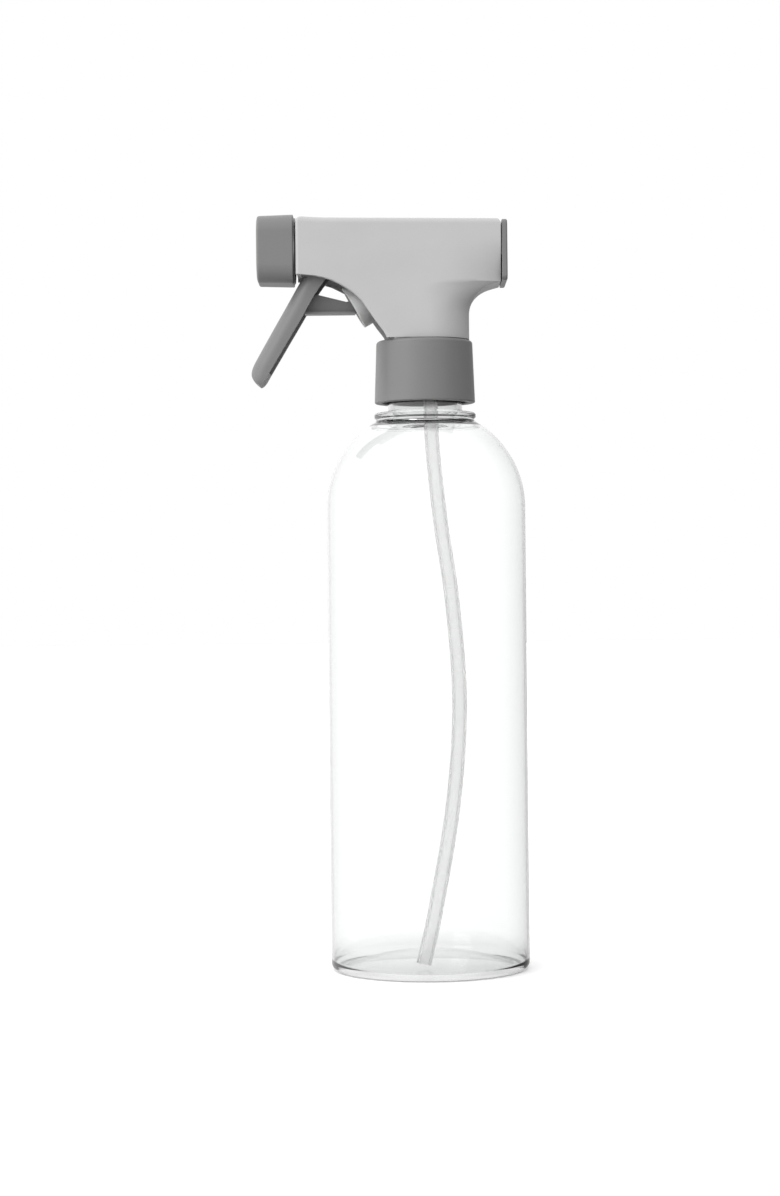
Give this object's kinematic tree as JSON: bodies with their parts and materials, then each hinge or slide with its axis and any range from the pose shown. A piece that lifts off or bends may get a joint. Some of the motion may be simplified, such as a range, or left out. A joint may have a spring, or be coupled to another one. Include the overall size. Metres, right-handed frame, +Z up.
{
  "type": "spray bottle",
  "caption": "Clear round-shouldered bottle with a screw collar, a bowed dip tube and a grey trigger pump head with a square turning nozzle.",
  "frame": {"origin": "on the surface the bottle stands on, at the middle of the whole object's bounding box; the bottle's own axis is 12.2 mm towards +X", "axes": "+Z up along the bottle's axis, -X the way the nozzle points, +Y to the right of someone who looks along +X from behind the nozzle"},
  "size_m": [0.0905, 0.066, 0.2505],
  "materials": {
    "clear_pet": "clear blow-moulded PET, glossy",
    "light_grey": "light grey moulded polypropylene, fine satin",
    "dark_grey": "mid to dark grey moulded polypropylene, satin",
    "natural_pp": "natural translucent polypropylene, satin",
    "milky_pe": "milky translucent polyethylene",
    "rubber": "black moulded elastomer",
    "spring_steel": "drawn stainless spring wire",
    "valve_glass": "polished glass ball"
  },
  "bodies": {
    "bottle": {"bottle": "clear_pet"},
    "head": {"pump_body": "natural_pp", "tube_retainer": "natural_pp", "closure_gasket": "rubber", "dip_tube": "milky_pe", "swirl_core": "natural_pp", "nozzle_gasket": "rubber", "return_spring": "spring_steel", "outlet_valve_spring": "spring_steel", "shroud": "light_grey", "rear_plate": "dark_grey"},
    "collar": {"collar": "dark_grey"},
    "inlet_ball": {"inlet_ball": "valve_glass"},
    "piston": {"piston": "milky_pe", "piston_seal": "rubber"},
    "trigger": {"trigger": "dark_grey"},
    "push_link": {"push_link": "dark_grey"},
    "outlet_valve": {"outlet_valve": "milky_pe"},
    "nozzle": {"nozzle_cap": "dark_grey", "orifice_insert": "dark_grey"}
  },
  "joints": [
    {"name": "head_lift", "type": "slide", "parent": "bottle", "child": "head", "axis": [0, 0, 1], "range_m": [0, 0.007]},
    {"name": "collar_turn", "type": "hinge", "parent": "head", "child": "collar", "pos_m": [0.0122, 0, 0.1979], "axis": [0, 0, 1], "range_deg": [0, 596]},
    {"name": "trigger_squeeze", "type": "hinge", "parent": "head", "child": "trigger", "pos_m": [-0.0238, 0, 0.2363], "axis": [0, -1, 0], "range_deg": [0, 20], "stiffness_Nm_per_rad": 0.8, "springref_deg": -14.32},
    {"name": "link_swing", "type": "hinge", "parent": "trigger", "child": "push_link", "pos_m": [-0.0283, 0, 0.2212], "axis": [0, -1, 0], "range_deg": [-10, 1]},
    {"name": "piston_slide", "type": "slide", "parent": "head", "child": "piston", "axis": [0.866, 0, 0.5], "range_m": [0, 0.0062], "deforming": ["return_spring"]},
    {"name": "inlet_ball_lift", "type": "slide", "parent": "head", "child": "inlet_ball", "axis": [0, 0, 1], "range_m": [0, 0.0009]},
    {"name": "outlet_valve_lift", "type": "slide", "parent": "head", "child": "outlet_valve", "axis": [-1, 0, 0], "range_m": [0, 0.0008], "stiffness_N_per_m": 150, "springref_m": -0.0005, "deforming": ["outlet_valve_spring"]},
    {"name": "nozzle_turn", "type": "hinge", "parent": "head", "child": "nozzle", "pos_m": [-0.0304, 0, 0.239], "axis": [1, 0, 0], "continuous": true}
  ],
  "couplings": [
    {"joint": "collar_turn", "follows": "head_lift", "rad_per_m": 1484.3},
    {"joint": "link_swing", "follows": "trigger_squeeze", "ratio": -0.43},
    {"joint": "piston_slide", "follows": "trigger_squeeze", "m_per_rad": 0.017145}
  ]
}
